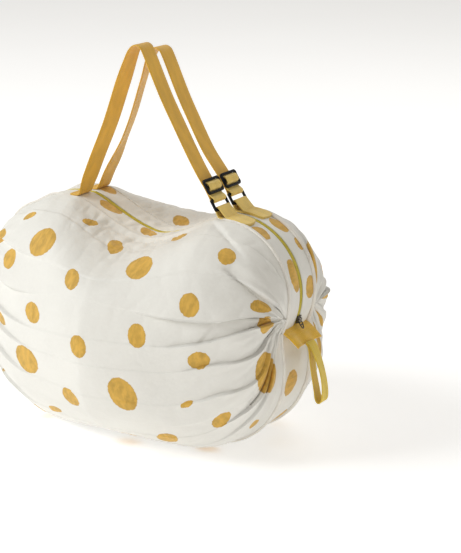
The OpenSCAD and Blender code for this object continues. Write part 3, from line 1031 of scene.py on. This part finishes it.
# ---- end tabs and elastic ----
def tab_places(sign, thick_side):
    """Grid of one face of an end tab: along it from the root, and across the bag."""
    low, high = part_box("end_tab_right")
    reach = high.x - TAB_PIVOT.x
    fall = TAB_PIVOT.z - low.z
    angle = math.atan2(fall - 1.3 * MM, reach - 0.8 * MM)
    ahead, up = np.array([math.cos(angle), -math.sin(angle)]), np.array([math.sin(angle), math.cos(angle)])
    s = np.linspace(-4.2 * MM, 24.2 * MM, 25)
    y = np.linspace(-29.6 * MM, 29.6 * MM, 49)
    ss, yy = np.meshgrid(s, y, indexing="ij")
    share = np.clip(ss / (24 * MM), 0, 1)
    across = yy / (30 * MM)
    wave = 2.4 * MM * np.sin(3.1 * across - 1.5) + 1.3 * MM * np.sin(7.0 * across + 1.0)
    droop = -1.5 * MM * np.abs(across) ** 2.4 - 5 * MM * np.clip(across, 0, 1) ** 1.5
    lift = (0.3 + 0.7 * share) * wave + (0.6 + 0.4 * share) * droop + 0.8 * MM * np.sin(math.pi * share)
    tuck = 1 - 0.10 * share * (1 - across**2)
    lift = lift + thick_side * 1.05 * MM
    x = TAB_PIVOT.x + ahead[0] * ss * tuck + up[0] * lift
    z = TAB_PIVOT.z + ahead[1] * ss * tuck + up[1] * lift
    return np.stack([sign * x, yy, z], axis=-1), np.stack([yy, ss - 10 * MM], axis=-1)


class TOTE_OT_tabs(bpy.types.Operator):
    """Build the twill end tabs with their stitching"""

    bl_idname = "tote.tabs"
    bl_label = "End tabs"

    def execute(self, context):
        twill = woven("tab_twill", hue("tab"), 1.5 * MM, 1.0, gloss=0.42, edge=0.034)
        thread = thread_finish("tab_thread", shade(hue("tab"), 1.25))
        for name, sign in (("right", 1), ("left", -1)):
            work = bmesh.new()
            middle, uv = tab_places(sign, 0.0)
            upper = tab_places(sign, 1.0)[0]
            lay_grid(work, middle, uv)
            bmesh.ops.recalc_face_normals(work, faces=work.faces)
            up = surface_normals(middle)
            if float(np.sum((upper - middle) * up)) < 0:
                up = -up
            tab = new_piece("end_tab_twill_" + name, work, twill)
            wall = tab.modifiers.new("Two layers", "SOLIDIFY")
            wall.thickness, wall.offset = 2.2 * MM, 0
            soft = tab.modifiers.new("Soft edge", "BEVEL")
            soft.width, soft.segments, soft.limit_method = 0.7 * MM, 2, "ANGLE"
            settle(tab, "tab_webbing", None, "end_tab_" + name)
            rows, columns = middle.shape[:2]
            work = bmesh.new()
            first, last, edge = 7, rows - 4, 3
            border = [(first, j) for j in range(edge, columns - edge)]
            border += [(i, columns - edge - 1) for i in range(first, last)]
            border += [(last, j) for j in range(columns - edge - 1, edge - 1, -1)]
            border += [(i, edge) for i in range(last, first - 1, -1)]
            cross = [(first + 5, j) for j in range(edge, columns - edge)]
            for level in (1.15, -1.15):
                for cells in (border, cross):
                    line = np.array([middle[c] + up[c] * level * MM for c in cells])
                    lift = np.array([up[c] * (1 if level > 0 else -1) for c in cells])
                    add_stitches(work, line, lift)
            seam = new_piece("end_tab_stitching_" + name, work, thread)
            for piece in (tab, seam):
                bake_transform(piece)
        return {"FINISHED"}


class TOTE_OT_elastic(bpy.types.Operator):
    """Build the elastic loop that hangs from the right end tab"""

    bl_idname = "tote.elastic"
    bl_label = "Elastic loop"

    def execute(self, context):
        ribbed = woven("elastic_ribs", hue("elastic"), 0.9 * MM, 0.0, rib=1.15 * MM, gloss=0.45, edge=0.0085)
        points = [(-4.5, 2.5), (-1.8, 0.2), (-0.6, -5), (0.2, -14), (1.8, -28), (4.6, -42), (7.0, -52),
                  (8.6, -59), (11.2, -63.8), (14.6, -64.6), (17.2, -61.5), (18.2, -55), (17.8, -46),
                  (15.8, -34), (12.2, -22), (7.6, -11), (3.6, -3.5), (0.2, 1.2), (-3.6, 3.8)]
        path = smooth([[ELASTIC_PIVOT.x + x * MM, ELASTIC_PIVOT.z + z * MM] for x, z in points], 1.6 * MM)
        line = upright(path)
        share = lengths(path) / lengths(path)[-1]
        line[:, 1] += 1.2 * MM * np.sin(2 * math.pi * share)
        twist = 0.16 * np.sin(2 * math.pi * share)
        wide = straps().elastic_w
        loop = swept("elastic_ribbon", line, flat_profile(wide, 1.2 * MM, 10), ribbed, twist=twist)
        settle(loop, "elastic", None, "elastic_loop")
        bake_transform(loop)
        return {"FINISHED"}


# ---- straps and buckles ----
def strand(s, n):
    """Place [x, z] in the right strand's own frame: s up the strand, n outwards, in mm."""
    ring = pivot("strap_front_swing") - STRAND_UP * straps().ring_pitch
    at = ring + STRAND_UP * s * MM + STRAND_OUT * n * MM
    return [at.x, at.z]


# Bends of each handle: its left strand (x, z in mm) and its right strand (up the strand, outwards)
BENDS = {
    "front": ([(-95, 0), (-88, 0.5), (-85, 3), (-83, 9), (-78, 22), (-66, 50), (-48, 90), (-31, 135),
               (-20, 163), (-14, 176), (-7, 182), (0, 181), (6, 172)],
              [(140, 0.5), (105, -1.5), (70, -3), (45, -3), (28, -1.9), (20, -1.9), (14.5, -1.9)]),
    "rear": ([(-95, 0), (-88, 0.5), (-85, 3), (-82, 9), (-76, 22), (-61, 50), (-43, 90), (-28, 135),
              (-19, 160), (-14, 169), (-8, 174), (-1, 173), (5, 165)],
             [(140, -3.5), (105, -5.5), (70, -6.5), (45, -4), (28, -1.9), (20, -1.9), (14.5, -1.9)]),
}


def strap_line(which):
    """Centre line of the handle from its sewn left end to the ring's upper bar, [x, z]."""
    lift = 1.05 * MM
    foot = [[-0.1005, SHOULDER_Z + lift]]
    corner = SHOULDER_Z + lift
    left = [[x * MM, corner + z * MM] for x, z in BENDS[which][0]]
    right = [strand(s, n) for s, n in BENDS[which][1]]
    return smooth(np.vstack([foot, left, right]), 2.5 * MM)


def webbing_profile():
    return flat_profile(straps().width, straps().thick)


def bar_turn():
    """Radius at which the webbing turns round a ring's bar."""
    return 0.71 * straps().ring_bar + 0.25 * MM + straps().thick / 2


def stitch_across(work, at, side, margin, normal):
    """A row of stitches across the webbing at this [x, z], short of both its edges."""
    row = upright(np.array([at, at]), side * STRAP_Y)
    row[:, 1] += np.array([-1, 1]) * (straps().width / 2 - margin)
    add_stitches(work, even(row, 1 * MM), normal)


class TOTE_OT_straps(bpy.types.Operator):
    """Build the two handles of webbing, their sewn feet and the parts round the buckles"""

    bl_idname = "tote.straps"
    bl_label = "Straps"

    def execute(self, context):
        # The second weave is the strap webbing in its paler colour, a painted highlight for the anchors,
        # returns and wraps; the strap thread takes its tint from it too
        webbing, highlit_webbing = [woven(name, hue(tint), 1.7 * MM, 1.0, gloss=0.40, edge=0.0125) for name, tint in
                          (("strap_webbing_weave", "webbing"), ("buckle_webbing_highlit_weave", "highlit_webbing"))]
        thread = thread_finish("strap_thread", shade(hue("highlit_webbing"), 1.1))
        for which, side in SIDES.items():
            self.handle(which, side, webbing)
            self.foot_stitches(which, side, thread)
            self.tail(which, side, highlit_webbing)
            self.wrap(which, side, highlit_webbing, thread)
            self.anchor(which, side, highlit_webbing, thread)
        return {"FINISHED"}

    def handle(self, which, side, webbing):
        """The webbing from its sewn foot over the top to the ring."""
        line = strap_line(which)
        run = lengths(line)
        if which == "front":
            lean = 0.20 * ease(run, 12 * MM, 40 * MM) * (1 - ease(run, 160 * MM, 215 * MM))
        else:
            lean = -0.25 * ease(run, 45 * MM, 90 * MM) * (1 - ease(run, 160 * MM, 210 * MM))
        space = upright(line, side * STRAP_Y)
        space[:, 1] += side * 1.6 * MM * np.sin(np.pi * ease(run, 30 * MM, 420 * MM)) ** 2
        nose = 1 - 0.22 * (1 - ease(run, 0, 3.0 * MM))
        piece = swept("strap_webbing_" + which, space, webbing_profile(), webbing, twist=lean, scale=nose)
        settle(piece, "strap_webbing", None, "strap_" + which, "strap_foot_" + which)
        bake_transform(piece)

    def tail(self, which, side, webbing):
        """The end of the webbing that comes back up from the ring to the glide."""
        bar = bar_turn() / MM
        turn = [strand(12 + bar * math.cos(t), bar * math.sin(t))
                for t in np.radians(np.linspace(-80, -262, 15))]
        rise = [strand(s, n) for s, n in ((14.6, 1.8), (16.6, 0.6), (20.5, -0.2), (23.4, -0.3))]
        path = upright(smooth([strand(14.5, -1.9)] + turn + rise, 0.8 * MM), side * STRAP_Y)
        piece = swept("strap_return_" + which, path, webbing_profile(), webbing)
        settle(piece, "strap_webbing", None, "strap_end_" + which)
        start, end = upright(np.array([strand(14, 0), strand(18, 0)]))
        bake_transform(piece)

    def wrap(self, which, side, webbing, thread):
        """The stitched end of the webbing over the glide's middle bar."""
        over = smooth([strand(s, n) for s, n in ((19.2, -0.9), (21.0, -0.2), (22.6, 2.2), (24.0, 4.3),
                                                 (26.0, 4.9), (28.9, 4.9), (31.0, 4.3), (32.4, 2.2),
                                                 (33.6, 0.1), (34.9, -0.9))], 0.8 * MM)
        profile = flat_profile(straps().width - 0.6 * MM, 1.1 * MM)
        piece = swept("strap_wrap_cloth_" + which, upright(over, side * STRAP_Y), profile, webbing)
        settle(piece, "strap_webbing", "glide_%s_body" % which, "strap_wrap_" + which)
        work = bmesh.new()
        for s in (26.2, 28.8):
            stitch_across(work, strand(s, 5.55), side, 1.6 * MM, np.array(STRAND_OUT))
        rows = new_piece("strap_wrap_stitching_" + which, work, thread)
        settle(rows, "strap_webbing", "glide_%s_body" % which)

    def foot_stitches(self, which, side, thread):
        """A sewn box and cross on the flat left end of the handle."""
        work = bmesh.new()
        z = SHOULDER_Z + 1.1 * MM + straps().thick / 2
        half = straps().width / 2 - 2.2 * MM
        far, near = -99 * MM, -90 * MM

        def at(x, y):
            return [x, side * STRAP_Y + y, z]

        box = [at(far, -half), at(far, half), at(near, half), at(near, -half), at(far, -half)]
        for line in (box, [at(far, -half), at(near, half)], [at(far, half), at(near, -half)]):
            add_stitches(work, even(np.array(line), 1 * MM), (0, 0, 1))
        rows = new_piece("strap_foot_stitching_" + which, work, thread)
        settle(rows, "strap_webbing", "bag")

    def anchor(self, which, side, webbing, thread):
        """The short webbing that holds the ring, folded round its lower bar and sewn down."""
        thick = straps().thick
        ring = strand(0, 0)
        flat_r = END_R + 1.05 * MM
        cx, cz = END_CENTRE.x, END_CENTRE.z
        upper = arc(cx, cz, flat_r + thick, 70, 87, 7)
        lower = arc(cx, cz, flat_r, 87, 70, 7)
        over = arc(ring[0], ring[1], bar_turn(), 60, 236, 14)
        low_z = SHOULDER_Z + 1.05 * MM
        path = smooth(np.vstack([upper, [[ring[0] + 11 * MM, low_z + 2.3 * MM]], over,
                                 [[ring[0] + 2.6 * MM, low_z + 0.5 * MM]], lower]), 1.0 * MM)
        run = lengths(path)
        tip = np.minimum(run, run[-1] - run) / (9 * MM)
        rounding = np.sqrt(np.clip(1 - (1 - np.clip(tip, 0, 1)) ** 2, 0.04, 1))
        nose = 0.5 * rounding + 0.5 * np.clip(tip * 6, 0.15, 1)
        anchor = swept("anchor_webbing_" + which, upright(path, side * STRAP_Y), webbing_profile(), webbing,
                       scale=nose)
        settle(anchor, "strap_webbing", None, "anchor_tab_" + which)
        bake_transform(anchor)
        work = bmesh.new()
        line = even(path[run < lengths(upper)[-1] + 9 * MM], 0.8 * MM)
        out = outward(line)
        if out[len(out) // 2, 1] < 0:
            out = -out
        for k in (10, 14, 26, 30, 34):
            if k < len(line):
                at = line[k] + out[k] * (thick / 2 + 0.05 * MM)
                stitch_across(work, at, side, 2 * MM, upright(out[k:k + 1])[0])
        rows = new_piece("anchor_stitching_" + which, work, thread)
        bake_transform(rows)


def add_buckle(work, side, s_lines, y_lines, holes, n_low, thick, corner, edge):
    """A moulded plate in the strand's frame, with openings between its lines, and rounded."""
    made = bmesh.ops.create_grid(work, x_segments=len(s_lines) - 1, y_segments=len(y_lines) - 1, size=0.5)
    grid = {}
    for vert in made["verts"]:
        i = round((vert.co.x + 0.5) * (len(s_lines) - 1))
        j = round((vert.co.y + 0.5) * (len(y_lines) - 1))
        vert.co = (s_lines[i], y_lines[j], 0)
        grid[i, j] = vert
    open_faces = [f for f in work.faces if any(
        a < f.calc_center_median().x < b and abs(f.calc_center_median().y) < c for a, b, c in holes)]
    bmesh.ops.delete(work, geom=open_faces, context="FACES")
    base = bmesh.ops.extrude_face_region(work, geom=work.faces[:])
    top = [g for g in base["geom"] if isinstance(g, bmesh.types.BMVert)]
    bmesh.ops.translate(work, verts=top, vec=(0, 0, thick))
    upright_edges = [e for e in work.edges if abs(e.verts[0].co.z - e.verts[1].co.z) > thick / 2
                     and len(e.link_faces) == 2
                     and e.calc_face_angle(0) > 0.5]
    outer = [e for e in upright_edges if abs(abs(e.verts[0].co.y) - max(y_lines)) < 1e-6]
    inner = [e for e in upright_edges if e not in outer]
    round_off(work, outer, corner, 5)
    round_off(work, [e for e in inner if e.is_valid], corner * 0.4, 3)
    round_off(work, [e for e in work.edges if len(e.link_faces) == 2 and e.calc_face_angle(0) > 1.0], edge, 3)
    origin = upright(np.array([strand(0, 0)]), side * STRAP_Y)[0]
    up, out = np.array(STRAND_UP), np.array(STRAND_OUT)
    for vert in work.verts:
        x, y, z = vert.co
        vert.co = Vector(origin + up * x + out * (n_low + z)) + Vector((0, y, 0))
    bmesh.ops.recalc_face_normals(work, faces=work.faces)


class TOTE_OT_buckles(bpy.types.Operator):
    """Build the moulded rings and glides"""

    bl_idname = "tote.buckles"
    bl_label = "Buckles"

    def execute(self, context):
        plastic = moulded("buckle_plastic", hue("buckle"))
        size = straps()
        half = size.buckle_w / 2
        for which, side in SIDES.items():
            bar = size.ring_bar
            work = bmesh.new()
            s_lines = [-bar / 2, bar / 2, size.ring_pitch - bar / 2, size.ring_pitch + bar / 2]
            add_buckle(work, side, s_lines, [-half, -half + bar, half - bar, half],
                       [(bar / 2, size.ring_pitch - bar / 2, half - bar)], -bar / 2, bar, 2.4 * MM, 0.75 * MM)
            ring = new_piece("ring_buckle_" + which, work, plastic)
            settle(ring, "black_plastic", "strap_%s_body" % which, "ring_" + which)
            work = bmesh.new()
            slot_h, mid_h = 4.6 * MM, 3 * MM
            rim = (size.glide_h - 2 * slot_h - mid_h) / 2
            start = 18.5 * MM
            cuts = np.cumsum([start, rim, slot_h, mid_h, slot_h, rim])
            side_w = 2.75 * MM
            add_buckle(work, side, list(cuts), [-half, -half + side_w, half - side_w, half],
                       [(cuts[1], cuts[2], half - side_w), (cuts[3], cuts[4], half - side_w)],
                       0.8 * MM, size.glide_t, 3.0 * MM, 0.8 * MM)
            glide = new_piece("glide_buckle_" + which, work, plastic)
            settle(glide, "black_plastic", "glide_%s_body" % which, "glide_" + which)
        return {"FINISHED"}


# ---- stage ----
class TOTE_OT_stage(bpy.types.Operator):
    """Set the pale floor, the soft lights and the camera"""

    bl_idname = "tote.stage"
    bl_label = "Stage"

    def execute(self, context):
        scene = context.scene
        work = bmesh.new()
        bmesh.ops.create_circle(work, cap_ends=True, segments=96, radius=30)
        floor = new_piece("floor", work, floor_finish("floor_paper"), smooth_shade=False)
        world = bpy.data.worlds.new("studio")
        world.use_nodes = True
        sky = world.node_tree.nodes["Background"]
        sky.inputs["Color"].default_value = (1.0, 0.965, 0.90, 1)
        sky.inputs["Strength"].default_value = 0.42
        scene.world = world
        for name, place, side, power, tint in (("key", (-2.0, -1.8, 2.1), 1.6, 67, (0.96, 0.985, 1.0)),
                                               ("fill", (2.4, -1.6, 1.4), 2.4, 2, (1.0, 0.78, 0.5)),
                                               ("back", (0.2, 1.8, 2.6), 2.0, 20, (1.0, 1.0, 1.0))):
            light = bpy.data.lights.new(name, "AREA")
            light.color = tint
            light.shape, light.size, light.energy = "SQUARE", side, power
            lamp = bpy.data.objects.new(name, light)
            lamp.location = place
            lamp.rotation_mode = "QUATERNION"
            lamp.rotation_quaternion = (Vector(place) - Vector((0, 0, 0.15))).to_track_quat("Z", "Y")
            scene.collection.objects.link(lamp)
        azimuth, elevation, distance = math.radians(33.35), math.radians(17.29), 1.914
        back = Vector((math.sin(azimuth) * math.cos(elevation), -math.cos(azimuth) * math.cos(elevation),
                       math.sin(elevation)))
        camera = bpy.data.cameras.new("camera")
        camera.sensor_width, camera.lens = 36, 106.08
        camera.shift_x, camera.shift_y = 0.1367, 0.0343
        camera.clip_end = 100
        eye = bpy.data.objects.new("camera", camera)
        eye.location = Vector((0, 0, 0.150)) + back * distance
        eye.rotation_mode = "QUATERNION"
        eye.rotation_quaternion = back.to_track_quat("Z", "Y")
        scene.collection.objects.link(eye)
        scene.camera = eye
        scene.view_settings.view_transform = "Standard"
        return {"FINISHED"}


class TOTE_PT_panel(bpy.types.Panel):
    """Lists the pieces and their settings"""

    bl_label = "Foldable tote"
    bl_idname = "TOTE_PT_panel"
    bl_space_type = "VIEW_3D"
    bl_region_type = "UI"
    bl_category = "Tote"

    def draw(self, context):
        for group in GROUPS:
            box = self.layout.box()
            settings = getattr(context.scene, group)
            for name in settings.__annotations__:
                box.prop(settings, name)
        for operator in OPERATORS:
            self.layout.operator(operator.bl_idname)


OPERATORS = (TOTE_OT_stage, TOTE_OT_panels, TOTE_OT_strips, TOTE_OT_binding, TOTE_OT_zip, TOTE_OT_tabs,
             TOTE_OT_elastic, TOTE_OT_straps, TOTE_OT_buckles)


def register():
    for name, group in GROUPS.items():
        bpy.utils.register_class(group)
        setattr(bpy.types.Scene, name, PointerProperty(type=group))
    for cls in (*OPERATORS, TOTE_PT_panel):
        bpy.utils.register_class(cls)


def unregister():
    for cls in (TOTE_PT_panel, *reversed(OPERATORS)):
        bpy.utils.unregister_class(cls)
    for name, group in GROUPS.items():
        delattr(bpy.types.Scene, name)
        bpy.utils.unregister_class(group)


def main():
    """Builds every piece in order."""
    register()
    for operator in OPERATORS:
        group, name = operator.bl_idname.split(".")
        getattr(getattr(bpy.ops, group), name)()


if __name__ == "__main__":
    main()
